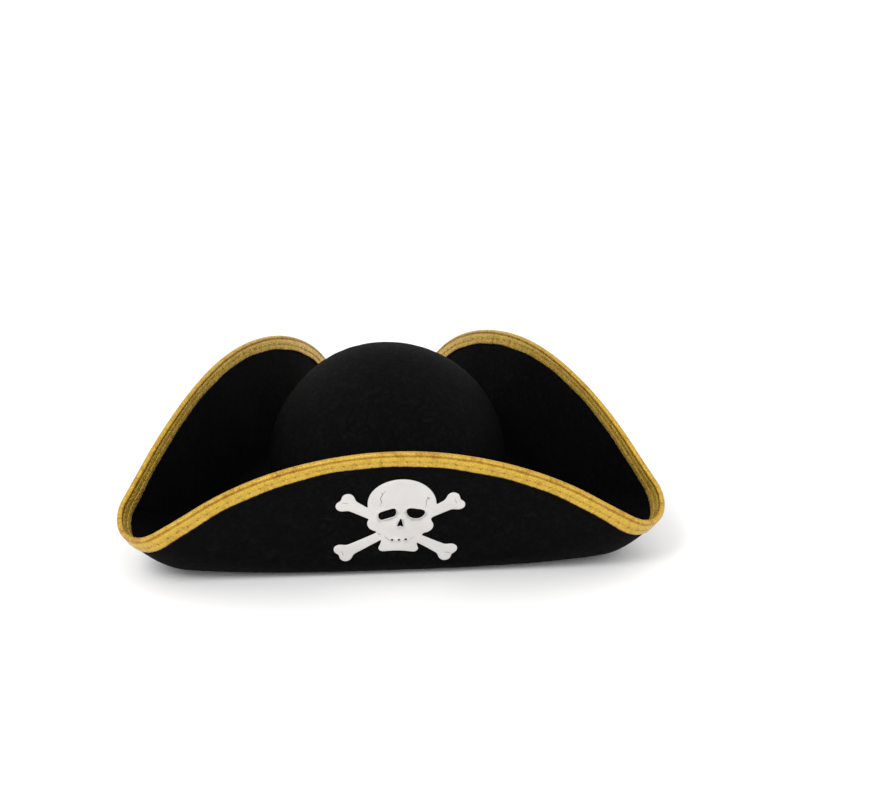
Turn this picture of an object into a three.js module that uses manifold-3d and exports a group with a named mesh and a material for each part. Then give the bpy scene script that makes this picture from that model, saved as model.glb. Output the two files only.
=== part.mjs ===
// A tricorn costume hat in stiffened felt. Crown and brim are moulded in one piece, and the round brim is
// turned up in three flaps. A metallic tape is folded over the edge and sewn on with two threads, a skull and
// crossbones badge sits on the front flap, and a ribbon sweatband with a care label lines the head opening.
// Units are millimetres, +Z is up and the wearer faces -Y. The origin is on the surface that the brim rests
// on, under the middle of the hat's bounding box.

import * as THREE from "three";
import { mergeVertices } from "three/addons/utils/BufferGeometryUtils.js";
import Module from "manifold-3d";

// ---- Driving dimensions ----

const clearance = 0.3; // left between pieces that touch

const headWidth = 172; // inside of the felt at the head opening, side to side
const headLength = 196; // the same, front to back
const feltThickness = 2.5;
const crownHeight = 125; // from the resting surface to the top of the crown
const domeHeight = 86; // the rounded part of that height
const footRadius = 6; // where the crown's wall turns out into the brim

const brimRadius = 221; // the brim is cut as a circle about the middle of the head opening

const foldLength = 18; // felt that a fold takes up in the middle of its flap
const foldSpread = 51; // how much more it takes up at spreadReach from the middle
const spreadReach = 160;
const spreadPower = 3;

// heading: the way a flap's middle faces, in degrees from +X; trough: crown to fold; turnUp: in degrees.
const frontFlap = { heading: -90, trough: 16.5, turnUp: 72 };
const leftFlap = { heading: 26, trough: 26, turnUp: 88 };
const rightFlap = { heading: 154, trough: 26, turnUp: 88 };
const flaps = [frontFlap, leftFlap, rightFlap];

const tapeWidth = 8.8; // of each leg of the folded tape
const tapeStitchInset = 4; // from a leg's free edge to its row of stitches
const tapeThickness = 0.6;
const threadDiameter = 0.6;
const stitchInset = 1.5; // from the edge of the sweatband or the label to its row of stitches

const badgeThickness = 0.8;
const badgeBelowEdge = 20; // from the brim's edge down to the top of the skull
const badgeAboveFold = 1; // from the front flap's fold up to the ends of the bones
const badgeAcross = 2.7; // its middle lies this far towards the wearer's left

const sweatbandHeight = 25;
const sweatbandThickness = 0.8;
const sweatbandFloor = 4.5; // from the resting surface to its sewn edge
const sweatbandGap = 2; // between its ends, at the back of the head

const labelWidth = 28;
const labelLength = 16;
const labelThickness = 0.6;
const labelHang = 2.4; // from the sweatband to the line the label hangs on

// ---- How finely the curved pieces are faceted ----

const turns = 72; // facets round the hat
const crowding = 0.17; // draws facets towards the three corners
const domeSteps = 7;
const footSteps = 3;
const brimSteps = 10;
const rollSteps = 4;

// ---- Materials ----

const feltBlack = new THREE.MeshStandardMaterial({ color: 0x151515, roughness: 0.95, metalness: 0 });
const goldLame = new THREE.MeshStandardMaterial({ color: 0xd9a62e, roughness: 0.35, metalness: 0.75 });
const goldThread = new THREE.MeshStandardMaterial({ color: 0xc08e22, roughness: 0.5, metalness: 0.3 });
const badgeWhite = new THREE.MeshStandardMaterial({ color: 0xe2e0dc, roughness: 0.6, metalness: 0 });
const ribbonBlack = new THREE.MeshStandardMaterial({ color: 0x1c1c1e, roughness: 0.7, metalness: 0 });
const blackThread = new THREE.MeshStandardMaterial({ color: 0x101010, roughness: 0.8, metalness: 0 });
const labelSatin = new THREE.MeshStandardMaterial({ color: 0xeeece6, roughness: 0.45, metalness: 0 });

// ---- Joining and cutting solids ----

const wasm = await Module();
wasm.setup();

function toSolid(geometry) {
  const bare = new THREE.BufferGeometry();
  bare.setAttribute("position", geometry.getAttribute("position"));
  bare.setIndex(geometry.index);
  const merged = mergeVertices(bare, 1e-4);
  return new wasm.Manifold(
    new wasm.Mesh({
      numProp: 3,
      vertProperties: new Float32Array(merged.getAttribute("position").array),
      triVerts: new Uint32Array(merged.index.array),
    }),
  );
}

function toGeometry(solid) {
  const { numProp, vertProperties, triVerts } = solid.getMesh();
  const points = [];
  for (let i = 0; i < vertProperties.length; i += numProp) points.push(...vertProperties.slice(i, i + 3));
  const geometry = new THREE.BufferGeometry();
  geometry.setAttribute("position", new THREE.Float32BufferAttribute(points, 3));
  geometry.setIndex(Array.from(triVerts));
  return geometry;
}

// ---- The felt's surface ----

const outerHalfWidth = headWidth / 2 + feltThickness;
const outerHalfLength = headLength / 2 + feltThickness;
const domeFloor = crownHeight - domeHeight;

for (const flap of flaps) {
  const heading = THREE.MathUtils.degToRad(flap.heading);
  flap.out = new THREE.Vector2(Math.cos(heading), Math.sin(heading));
  flap.turn = THREE.MathUtils.degToRad(flap.turnUp);
  flap.distance = Math.hypot(outerHalfWidth * flap.out.x, outerHalfLength * flap.out.y) + flap.trough;
}

// The outside of the crown's wall is an ellipse about the middle of the head opening.
function wallRadius(angle) {
  return 1 / Math.hypot(Math.cos(angle) / outerHalfWidth, Math.sin(angle) / outerHalfLength);
}

// Takes a point of the flat brim to its place with the flaps turned up. Each fold is a bend of constant
// radius along a straight line, and it gets wider away from the middle of its flap.
function turnUpFlaps(point) {
  const moved = point.clone();
  for (const { out, distance, turn } of flaps) {
    const along = point.y * out.x - point.x * out.y;
    const length = foldLength + foldSpread * Math.abs(along / spreadReach) ** spreadPower;
    const past = point.x * out.x + point.y * out.y - distance + length / 2;
    if (past <= 0) continue;
    const radius = length / turn;
    const bent = Math.min(past, length);
    const angle = bent / radius;
    const outward = radius * Math.sin(angle) + (past - bent) * Math.cos(angle) - past;
    moved.x += out.x * outward;
    moved.y += out.y * outward;
    moved.z += radius * (1 - Math.cos(angle)) + (past - bent) * Math.sin(angle);
  }
  return moved;
}

// The felt's upper face. Along it, step runs 0 to 1 down the dome, to 2 down the wall, to 3 round the foot
// and to 4 out to the brim's edge.
function upperFace(angle, step) {
  const wall = wallRadius(angle);
  const part = Math.min(Math.floor(step), 3);
  const share = step - part;
  const quarter = (share * Math.PI) / 2;
  const foot = feltThickness + footRadius;
  const [radius, height] = [
    () => [wall * Math.sin(quarter), domeFloor + domeHeight * Math.cos(quarter)],
    () => [wall, THREE.MathUtils.lerp(domeFloor, foot, share)],
    () => [wall + footRadius * (1 - Math.cos(quarter)), foot - footRadius * Math.sin(quarter)],
    () => [THREE.MathUtils.lerp(wall + footRadius, brimRadius, share), feltThickness],
  ][part]();
  return turnUpFlaps(new THREE.Vector3(radius * Math.cos(angle), radius * Math.sin(angle), height));
}

function faceNormal(angle, step) {
  const tiny = 1e-4;
  if (step < tiny) return new THREE.Vector3(0, 0, 1);
  const round = upperFace(angle + tiny, step).sub(upperFace(angle - tiny, step));
  const down = upperFace(angle, Math.min(step + tiny, 4)).sub(upperFace(angle, step - tiny));
  return down.cross(round).normalize();
}

// A point of the felt, depth below its upper face.
function inFelt(angle, step, depth) {
  return upperFace(angle, step).addScaledVector(faceNormal(angle, step), -depth);
}

function brimStep(angle, radius) {
  const start = wallRadius(angle) + footRadius;
  return 3 + (radius - start) / (brimRadius - start);
}

// The tape's stitches, measured in from the brim's edge.
const stitchRow = tapeWidth - tapeStitchInset;

// The facets' edges lie at the same angles on every piece, so that pieces that follow each other stay apart.
const angles = Array.from({ length: turns }, (_, i) => {
  const even = (i / turns) * 2 * Math.PI + Math.PI / 2;
  return even - crowding * Math.sin(3 * (even - Math.PI / 2));
});

// Steps from the foot to where the tape begins, closer together where the felt bends.
function brimSpacing(angle) {
  const fine = 160;
  const end = brimStep(angle, brimRadius - tapeWidth);
  const at = (i) => 3 + ((end - 3) * i) / fine;
  const weights = [0];
  for (let i = 1; i <= fine; i += 1) {
    const length = upperFace(angle, at(i)).distanceTo(upperFace(angle, at(i - 1)));
    const bend = faceNormal(angle, at(i)).angleTo(faceNormal(angle, Math.max(at(i - 1), 3)));
    weights.push(weights[i - 1] + length / 25 + bend / 0.25);
  }
  const steps = [];
  for (let k = 1; k < brimSteps; k += 1) {
    const i = weights.findIndex((weight) => weight >= (weights[fine] * k) / brimSteps);
    steps.push(at(i));
  }
  return [...steps, end, brimStep(angle, brimRadius - stitchRow), 4];
}

// ---- Building closed surfaces ----

// A closed surface from rings of points: each ring joins the next, and the last joins the first where
// closed is set. Otherwise each end ring is capped about its middle, or about the point given for it.
function skin(rings, closed, tips = []) {
  const size = rings[0].length;
  const points = rings.flat();
  const faces = [];
  const joins = closed ? rings.length : rings.length - 1;
  for (let i = 0; i < joins; i += 1) {
    const here = i * size;
    const next = ((i + 1) % rings.length) * size;
    for (let j = 0; j < size; j += 1) {
      const k = (j + 1) % size;
      faces.push(here + j, next + j, next + k, here + j, next + k, here + k);
    }
  }
  const cap = (ring, start, flip, tip) => {
    const middle = ring.reduce((sum, point) => sum.add(point), new THREE.Vector3()).divideScalar(size);
    points.push(tip ?? middle);
    for (let j = 0; j < size; j += 1) {
      const k = (j + 1) % size;
      faces.push(points.length - 1, start + (flip ? k : j), start + (flip ? j : k));
    }
  };
  if (!closed) {
    cap(rings[0], 0, false, tips[0]);
    cap(rings[rings.length - 1], (rings.length - 1) * size, true, tips[1]);
  }
  const geometry = new THREE.BufferGeometry().setFromPoints(points);
  geometry.setIndex(faces);
  return geometry;
}

function turnedOut(geometry) {
  if (toSolid(geometry).volume() > 0) return geometry;
  const index = geometry.index.array;
  for (let i = 0; i < index.length; i += 3) [index[i + 1], index[i + 2]] = [index[i + 2], index[i + 1]];
  return geometry;
}

function part(name, geometry, material) {
  const solid = turnedOut(geometry);
  solid.computeVertexNormals();
  const mesh = new THREE.Mesh(solid, material);
  mesh.name = name;
  return mesh;
}

// ---- The pieces ----

// Crown and brim, from the top of the crown out to the edge and back underneath.
function feltHood() {
  const crownSteps = Array.from({ length: domeSteps }, (_, i) => (i + 1) / domeSteps);
  const footEnds = Array.from({ length: footSteps + 1 }, (_, i) => 2 + i / footSteps);
  const spacing = angles.map((angle) => [...crownSteps, ...footEnds, ...brimSpacing(angle)]);
  const count = spacing[0].length;
  const ring = (i, depth) => angles.map((angle, j) => inFelt(angle, spacing[j][i], depth));
  const upper = Array.from({ length: count }, (_, i) => ring(i, 0));
  const lower = Array.from({ length: count }, (_, i) => ring(count - 1 - i, feltThickness));
  return skin([...upper, ...lower], false, [inFelt(0, 0, 0), inFelt(0, 0, feltThickness)]);
}

// A point near the brim's edge: inward from the edge along the felt, and out from the felt's middle
// towards the crown (positive) or away from it.
function atEdge(angle, inward, out) {
  const middle = feltThickness / 2;
  const edge = inFelt(angle, 4, middle - out);
  if (inward <= 0) {
    const back = inFelt(angle, brimStep(angle, brimRadius - 0.1), middle - out);
    return edge.clone().addScaledVector(edge.clone().sub(back).normalize(), -inward);
  }
  const [from, to] = inward <= stitchRow ? [0, stitchRow] : [stitchRow, tapeWidth];
  const at = (distance) => inFelt(angle, brimStep(angle, brimRadius - distance), middle - out);
  return at(from).lerp(at(to), (inward - from) / (to - from));
}

// Half the section of the folded tape: down one leg, round the roll and up the other.
function tapeLine(angle, reach) {
  const roll = Array.from({ length: rollSteps - 1 }, (_, i) => {
    const turn = ((i + 1) / rollSteps) * Math.PI;
    return atEdge(angle, -reach * Math.sin(turn), -reach * Math.cos(turn));
  });
  return [
    atEdge(angle, tapeWidth, -reach),
    atEdge(angle, stitchRow, -reach),
    atEdge(angle, 0, -reach),
    ...roll,
    atEdge(angle, 0, reach),
    atEdge(angle, stitchRow, reach),
    atEdge(angle, tapeWidth, reach),
  ];
}

const tapeInside = feltThickness / 2 + clearance;
const tapeOutside = tapeInside + tapeThickness;

function edgeBinding() {
  const rings = angles.map((angle) => [
    ...tapeLine(angle, tapeOutside),
    ...tapeLine(angle, tapeInside).reverse(),
  ]);
  return skin(rings, true);
}

// A square-section thread along a closed line, given by its middle and two directions across it.
function threadLoop(middleAt) {
  const half = threadDiameter / 2;
  const rings = angles.map((angle) => [
    middleAt(angle, -half, 0),
    middleAt(angle, 0, half),
    middleAt(angle, half, 0),
    middleAt(angle, 0, -half),
  ]);
  return skin(rings, true);
}

function bindingThread(side) {
  const height = tapeOutside + clearance + threadDiameter / 2;
  return threadLoop((angle, across, out) => atEdge(angle, stitchRow + across, side * (height + out)));
}

// The ellipse of the crown's wall, at a distance outside the wall's outer face.
function besideWall(angle, outside, height) {
  const wall = upperFace(angle, 1);
  const normal = faceNormal(angle, 1.5);
  return wall.addScaledVector(normal, outside).setZ(height);
}

const sweatbandOutside = -feltThickness - clearance;
const sweatbandInside = sweatbandOutside - sweatbandThickness;
const sweatbandTop = sweatbandFloor + sweatbandHeight;

function sweatband() {
  const halfGap = sweatbandGap / headLength;
  const within = angles.slice(1);
  const ends = [angles[0] + halfGap, ...within, angles[0] + 2 * Math.PI - halfGap];
  const rings = ends.map((angle) => [
    besideWall(angle, sweatbandInside, sweatbandFloor),
    besideWall(angle, sweatbandOutside, sweatbandFloor),
    besideWall(angle, sweatbandOutside, sweatbandTop),
    besideWall(angle, sweatbandInside, sweatbandTop),
  ]);
  return skin(rings, false);
}

const seamHeight = feltThickness + footRadius + stitchInset;

function sweatbandNeedleThread() {
  const place = sweatbandInside - clearance - threadDiameter / 2;
  return threadLoop((angle, across, out) => besideWall(angle, place - out, seamHeight + across));
}

function sweatbandBobbinThread() {
  const place = clearance + threadDiameter / 2;
  return threadLoop((angle, across, out) => besideWall(angle, place + out, seamHeight + across));
}

// ---- The badge ----

// It's drawn about the middle of the crossed bones and scaled to fill the flat of the front flap.
const skullTop = 43;
const skullTilt = -4; // degrees
const skullAcross = 0.8;
const crossedBones = [
  { tilt: -33.9, reach: 42.8, across: -1.3, up: -1 },
  { tilt: 29.7, reach: 45.4, across: 0, up: 0 },
];

function ellipse(x, y, halfWidth, halfHeight) {
  return new THREE.Shape().absellipse(x, y, halfWidth, halfHeight, 0, 2 * Math.PI, false, 0);
}

// The face under the brow: cheeks, then a jaw that widens towards its hollowed foot.
function face() {
  const shape = new THREE.Shape();
  shape.moveTo(-19, 16);
  shape.lineTo(19, 16);
  shape.bezierCurveTo(19, 8, 23, 6, 22.5, 0.5);
  shape.quadraticCurveTo(21.5, -4, 15.5, -5.5);
  shape.quadraticCurveTo(12, -11, 13.6, -19);
  shape.quadraticCurveTo(14.2, -23, 11, -23);
  shape.quadraticCurveTo(0, -21.6, -11, -23);
  shape.quadraticCurveTo(-14.2, -23, -13.6, -19);
  shape.quadraticCurveTo(-12, -11, -15.5, -5.5);
  shape.quadraticCurveTo(-21.5, -4, -22.5, 0.5);
  shape.bezierCurveTo(-23, 6, -19, 8, -19, 16);
  return shape;
}

// A bone lying along X: a waisted shaft between two pairs of knobs.
const boneKnob = 4.3;
const boneSpread = 3.9;
const boneWaist = 3.3;

function shaft(reach) {
  const shape = new THREE.Shape();
  shape.moveTo(-reach, -boneSpread);
  shape.quadraticCurveTo(-reach / 2, -boneWaist, 0, -boneWaist);
  shape.quadraticCurveTo(reach / 2, -boneWaist, reach, -boneSpread);
  shape.lineTo(reach, boneSpread);
  shape.quadraticCurveTo(reach / 2, boneWaist, 0, boneWaist);
  shape.quadraticCurveTo(-reach / 2, boneWaist, -reach, boneSpread);
  return shape;
}

function bone(reach) {
  const knobs = [-1, 1].flatMap((end) =>
    [-1, 1].map((side) => ellipse(end * reach, side * boneSpread, boneKnob, boneKnob)),
  );
  return [shaft(reach), ...knobs];
}

// A slanting slot and a half round: the skull scowls.
function rightEye() {
  const shape = new THREE.Shape();
  shape.moveTo(-15.4, 11.4);
  shape.lineTo(-4.4, 16.8);
  shape.lineTo(-3.6, 10.2);
  shape.lineTo(-13.8, 5.4);
  return shape;
}

function leftEye() {
  const shape = new THREE.Shape();
  shape.moveTo(4.6, 16.9);
  shape.lineTo(15.6, 15.8);
  shape.quadraticCurveTo(16, 8.9, 10.6, 8.6);
  shape.quadraticCurveTo(4.6, 8.9, 4.6, 16.9);
  return shape;
}

function nose() {
  const shape = new THREE.Shape();
  shape.moveTo(0, 8);
  shape.lineTo(2.1, 0.5);
  shape.lineTo(0, 1.3);
  shape.lineTo(-2.1, 0.5);
  return shape;
}

function slab(shape, depth, curveSegments) {
  return toSolid(new THREE.ExtrudeGeometry(shape, { depth, bevelEnabled: false, curveSegments }));
}

function badge() {
  const cranium = slab(ellipse(0, skullTop - 22.4, 23.6, 22.4), badgeThickness, 14);
  const skull = cranium.add(slab(face(), badgeThickness, 5));
  const bones = crossedBones.flatMap(({ tilt, reach, across, up }) =>
    bone(reach).map((shape) => slab(shape, badgeThickness, 5).rotate([0, 0, tilt]).translate([across, up, 0])),
  );
  const teeth = [-5, 0, 5].map((x) => ellipse(x, -11.4, 0.8, 1.3));
  const turned = (solid) => solid.rotate([0, 0, skullTilt]).translate([skullAcross, 0, 0]);
  const holes = [rightEye(), leftEye(), nose(), ...teeth].map((shape) =>
    turned(slab(shape, 3 * badgeThickness, 4).translate([0, 0, -badgeThickness])),
  );
  const joined = bones.reduce((sum, piece) => sum.add(piece), turned(skull));
  const geometry = toGeometry(holes.reduce((rest, hole) => rest.subtract(hole), joined));

  geometry.computeBoundingBox();
  const { min, max } = geometry.boundingBox;
  const flat = brimRadius - frontFlap.distance - foldLength / 2;
  const scale = (flat - badgeBelowEdge - badgeAboveFold) / (max.y - min.y);
  const place = geometry.getAttribute("position");
  for (let i = 0; i < place.count; i += 1) {
    const x = badgeAcross + place.getX(i) * scale;
    const down = (max.y - place.getY(i)) * scale;
    const y = badgeBelowEdge + down - brimRadius;
    const angle = Math.atan2(y, x);
    const depth = feltThickness + clearance + place.getZ(i);
    place.setXYZ(i, ...inFelt(angle, brimStep(angle, Math.hypot(x, y)), depth).toArray());
  }
  return geometry;
}

// ---- The label ----

const labelLine = outerHalfLength + sweatbandInside - labelHang;
const labelTop = sweatbandTop - stitchInset;

function careLabel() {
  const geometry = new THREE.BoxGeometry(labelWidth, labelThickness, labelLength);
  geometry.translate(0, labelLine, labelTop - threadDiameter / 2 - clearance - labelLength / 2);
  return geometry;
}

function labelStitching() {
  const geometry = new THREE.CylinderGeometry(threadDiameter / 2, threadDiameter / 2, labelWidth, 8);
  geometry.rotateZ(Math.PI / 2);
  geometry.translate(0, labelLine, labelTop);
  return geometry;
}

// ---- The hat ----

const hat = new THREE.Group();
hat.add(
  part("felt_hood", feltHood(), feltBlack),
  part("edge_binding", edgeBinding(), goldLame),
  part("binding_needle_thread", bindingThread(-1), goldThread),
  part("binding_bobbin_thread", bindingThread(1), goldThread),
  part("skull_badge", badge(), badgeWhite),
  part("sweatband", sweatband(), ribbonBlack),
  part("sweatband_needle_thread", sweatbandNeedleThread(), blackThread),
  part("sweatband_bobbin_thread", sweatbandBobbinThread(), blackThread),
  part("care_label", careLabel(), labelSatin),
  part("label_stitching", labelStitching(), blackThread),
);

const middle = new THREE.Box3().setFromObject(hat).getCenter(new THREE.Vector3());
hat.position.set(-middle.x, -middle.y, 0);

const placed = new THREE.Group();
placed.add(hat);

export default placed;
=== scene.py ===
"""A felt tricorn costume hat: gold edge binding, skull and crossbones badge, ribbon sweatband, care label.

Lengths are in metres. Points on the felt are given by an angle round the hat, from the wearer's left, and
a step from the top of the crown: 0 to 1 is the dome, to 2 the wall, to 3 the foot and to 4 the brim.
"""

import math

import bpy
import numpy as np
from bpy.props import FloatProperty, FloatVectorProperty, IntProperty, PointerProperty
from mathutils import Matrix, Vector
from mathutils.geometry import delaunay_2d_cdt


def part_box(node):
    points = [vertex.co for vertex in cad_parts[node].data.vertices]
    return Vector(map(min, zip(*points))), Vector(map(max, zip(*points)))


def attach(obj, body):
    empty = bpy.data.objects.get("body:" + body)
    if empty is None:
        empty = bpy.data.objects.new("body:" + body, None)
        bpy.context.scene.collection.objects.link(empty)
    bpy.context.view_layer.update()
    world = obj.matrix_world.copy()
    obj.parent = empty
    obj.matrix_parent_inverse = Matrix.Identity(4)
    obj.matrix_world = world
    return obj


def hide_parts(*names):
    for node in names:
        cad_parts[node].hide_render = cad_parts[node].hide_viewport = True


bl_info = {
    "name": "Felt Tricorn",
    "version": (1, 0, 0),
    "blender": (4, 5, 0),
    "location": "3D View > Sidebar > Tricorn",
    "description": "Builds a felt tricorn costume hat round its packed frame",
    "category": "Add Mesh",
}

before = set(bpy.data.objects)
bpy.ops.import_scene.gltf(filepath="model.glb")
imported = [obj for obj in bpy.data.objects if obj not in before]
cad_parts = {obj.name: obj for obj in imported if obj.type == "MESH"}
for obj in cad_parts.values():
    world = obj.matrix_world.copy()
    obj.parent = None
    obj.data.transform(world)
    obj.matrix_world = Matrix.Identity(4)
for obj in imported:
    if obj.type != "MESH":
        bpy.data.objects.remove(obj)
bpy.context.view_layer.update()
TAU = 2 * math.pi
POINTS_PER_STITCH = 8
THREAD_SIDES = 8
CROWDING = 0.17  # draws the felt's rows of points towards its three corners


def span(node, axis):
    low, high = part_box(node)
    return high[axis] - low[axis]


def middle(node, axis):
    low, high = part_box(node)
    return (high[axis] + low[axis]) / 2


# ---- Sizes and colours ----


def length(name, description, default):
    return FloatProperty(name=name, description=description, default=default, precision=5, subtype="DISTANCE")


def arc(name, description, default):
    return FloatProperty(name=name, description=description, default=default, precision=3, subtype="ANGLE")


def colour(name, description, default):
    return FloatVectorProperty(
        name=name, description=description, default=default, size=3, min=0, max=1, subtype="COLOR"
    )


class FeltSettings(bpy.types.PropertyGroup):
    """The moulded felt hood"""

    head_width: length("Head width", "Inside of the felt, side to side", 0.172)
    head_length: length("Head length", "Inside of the felt, front to back", 0.196)
    thickness: length("Thickness", "Thickness of the felt", 0.0025)
    crown_height: length("Crown height", "Rest surface to the crown's top", span("felt_hood", 2))
    dome_height: length("Dome height", "The rounded part of the crown", 0.086)
    foot_radius: length("Foot radius", "Where the wall turns out into the brim", 0.006)
    brim_radius: length("Brim radius", "Radius that the flat brim is cut to", 0.221)
    front_trough: length("Front trough", "From crown to fold, in front", 0.0165)
    side_trough: length("Side trough", "From crown to fold, at the side flaps", 0.026)
    front_turn: arc("Front turn", "How far the front flap turns up", 1.2566)
    side_turn: arc("Side turn", "How far the side flaps turn up", 1.5359)
    side_heading: arc("Side heading", "Way the side flaps face", 0.45379)
    fold_length: length("Fold length", "Felt that a fold takes up at its middle", 0.018)
    fold_spread: length("Fold spread", "How much more it takes up towards the corners", 0.051)
    spread_reach: length("Spread reach", "Distance at which that much is added", 0.160)
    ripple: length("Ripple", "Height of the felt's gentle waves", 0.0009)
    felt_colour: colour("Felt colour", "Colour of the felt", (0.0009, 0.0009, 0.0010))
    fibre_colour: colour("Fibre colour", "Colour of the loose fibres", (0.0064, 0.0064, 0.0067))


class TrimSettings(bpy.types.PropertyGroup):
    """The tape over the brim's edge and its threads"""

    width: length("Tape width", "Width of each leg of the folded tape", 0.0088)
    gap: length("Gap", "Left between pieces that touch", 0.0003)
    thickness: length("Tape thickness", "Thickness of the tape", 0.0006)
    inset: length("Stitch inset", "From a leg's free edge to its stitches", 0.0040)
    stitches: IntProperty(name="Stitches", description="Stitches round the brim", default=154)
    thread: length("Thread", "Diameter of the sewing threads", 0.00045)
    gold: colour("Gold", "Colour of the tape", (0.66, 0.435, 0.062))
    # Deep gold: the weave's brown ground, and also painted shade and a painted dark reflection on the tape.
    ground_and_shade_gold: colour("Deep gold", "Colour of the tape in its hollows", (0.27, 0.105, 0.006))
    thread_gold: colour("Thread gold", "Colour of the tape's threads", (0.66, 0.435, 0.062))


class BadgeSettings(bpy.types.PropertyGroup):
    """The skull and crossbones on the front flap"""

    below_edge: length("Below edge", "From the brim's edge to the skull's top", 0.020)
    above_fold: length("Above fold", "From the fold to the bones' ends", 0.001)
    across: length("Across", "How far it sits towards the wearer's left", 0.0027)
    thickness: length("Badge thickness", "Thickness of the sheet", 0.0008)
    rounding: length("Rounding", "Radius of the sheet's edge", 0.00035)
    white: colour("White", "Colour of the sheet", (0.60, 0.585, 0.565))
    print_grey: colour("Print grey", "Colour of the printed lines", (0.16, 0.155, 0.15))


class LiningSettings(bpy.types.PropertyGroup):
    """The ribbon, its threads and the care label"""

    ribbon_floor: length("Ribbon floor", "Height of the sewn edge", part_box("sweatband")[0].z)
    ribbon_height: length("Ribbon height", "Width of the ribbon", span("sweatband", 2))
    ribbon_thickness: length("Ribbon thickness", "Thickness of the ribbon", 0.0008)
    ribbon_gap: length("Ribbon gap", "Between the ribbon's ends", 0.002)
    stitches: IntProperty(name="Stitches", description="Stitches round the ribbon", default=132)
    label_width: length("Label width", "Width of the care label", span("care_label", 0))
    label_drop: length("Label drop", "Length of the care label", span("care_label", 2))
    black: colour("Ribbon black", "Colour of the ribbon", (0.0085, 0.0085, 0.0095))
    thread_black: colour("Thread black", "Colour of the black threads", (0.0055, 0.0055, 0.006))
    satin: colour("Satin", "Colour of the care label", (0.80, 0.79, 0.76))


class StudioSettings(bpy.types.PropertyGroup):
    """Floor, lights and camera"""

    floor_white: colour("Floor", "Colour of the floor", (0.93, 0.93, 0.93))
    key_power: FloatProperty(name="Key power", description="Power of the main lamp", default=19, unit="POWER")
    fill_power: FloatProperty(name="Fill power", description="Power of the fill", default=4, unit="POWER")
    sky: FloatProperty(name="Sky", description="Strength of the light all round", default=1.14)
    lens: FloatProperty(name="Lens", description="Focal length in millimetres", default=73.66)
    distance: length("Distance", "From camera to the head opening", 1.35)
    elevation: arc("Elevation", "Camera's height as an angle", 0.38)


GROUPS = {
    "tricorn_felt": FeltSettings,
    "tricorn_trim": TrimSettings,
    "tricorn_badge": BadgeSettings,
    "tricorn_lining": LiningSettings,
    "tricorn_studio": StudioSettings,
}


# ---- Finishes ----


class Signal:
    """A socket in a finish, with arithmetic.

    Colours and vectors go through Vector Math, and numbers through Math.
    """

    def __init__(self, finish, socket):
        self.finish = finish
        self.socket = socket

    def _join(self, operation, first, second):
        sockets = [x.socket for x in (first, second) if isinstance(x, Signal)]
        if any(s.type in ("VECTOR", "RGBA") for s in sockets):
            spread = [
                x if isinstance(x, Signal) or hasattr(x, "__len__") else (x,) * 3 for x in (first, second)
            ]
            return self.finish.add("ShaderNodeVectorMath", {"operation": operation}, *spread)
        return self.finish.add("ShaderNodeMath", {"operation": operation}, first, second)

    def __add__(self, other):
        return self._join("ADD", self, other)

    def __sub__(self, other):
        return self._join("SUBTRACT", self, other)

    def __rsub__(self, other):
        return self._join("SUBTRACT", other, self)

    def __mul__(self, other):
        return self._join("MULTIPLY", self, other)

    __radd__, __rmul__ = __add__, __mul__

    def wave(self, pitch, phase=0.0):
        """0 to 1 and back, once in each pitch."""
        turned = self * (TAU / pitch) + phase
        return self.finish.add("ShaderNodeMath", {"operation": "SINE"}, turned) * 0.5 + 0.5

    def between(self, low, high, start=0.0, end=1.0):
        """Goes smoothly from start to end as this goes from low to high."""
        ranged = {"interpolation_type": "SMOOTHSTEP", "clamp": True}
        return self.finish.add("ShaderNodeMapRange", ranged, self, low, high, start, end)

    def blend(self, first, second):
        """The first colour where this is 0 and the second where it is 1."""
        return self.finish.add("ShaderNodeMix", {"data_type": "RGBA"}, Factor=self, A=first, B=second)

    def part(self, name):
        return Signal(self.finish, self.socket.node.outputs[name])


class Finish:
    """A material as it's put together."""

    def __init__(self, name):
        self.material = bpy.data.materials.new(name)
        self.material.use_nodes = True
        self.tree = self.material.node_tree
        self.tree.nodes.clear()
        self.output = self.tree.nodes.new("ShaderNodeOutputMaterial")

    def add(self, kind, settings=None, *values, **named):
        """A node: its type, its settings, then the values or signals of its sockets."""
        node = self.tree.nodes.new(kind)
        for key, value in (settings or {}).items():
            setattr(node, key, value)
        usable = [s for s in node.inputs if s.enabled]
        pairs = list(zip(usable, values))
        pairs += [(next(s for s in usable if s.name == key.replace("_", " ")), v) for key, v in named.items()]
        for socket, value in pairs:
            if isinstance(value, Signal):
                self.tree.links.new(value.socket, socket)
            elif hasattr(value, "__len__") and len(value) == 3 and socket.type == "RGBA":
                socket.default_value = (*value, 1.0)
            else:
                socket.default_value = value
        return Signal(self, next(s for s in node.outputs if s.enabled))

    def place(self):
        return self.add("ShaderNodeTexCoord").part("Object")

    def weave(self):
        """The weave map and its two parts."""
        both = self.add("ShaderNodeUVMap", {"uv_map": "weave"})
        split = self.add("ShaderNodeSeparateXYZ", None, both)
        return both, split.part("X"), split.part("Y")

    def noise(self, place, scale, detail=2.0, roughness=0.5):
        sockets = {"Vector": place, "Scale": scale, "Detail": detail, "Roughness": roughness}
        return self.add("ShaderNodeTexNoise", {"noise_dimensions": "3D"}, **sockets)

    def bump(self, height, distance, strength=1.0, under=None):
        more = {"Normal": under} if under else {}
        return self.add("ShaderNodeBump", None, Height=height, Distance=distance, Strength=strength, **more)

    def surface(self, **sockets):
        shader = self.add("ShaderNodeBsdfPrincipled", None, **sockets)
        self.tree.links.new(shader.socket, self.output.inputs["Surface"])
        return self.material


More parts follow.
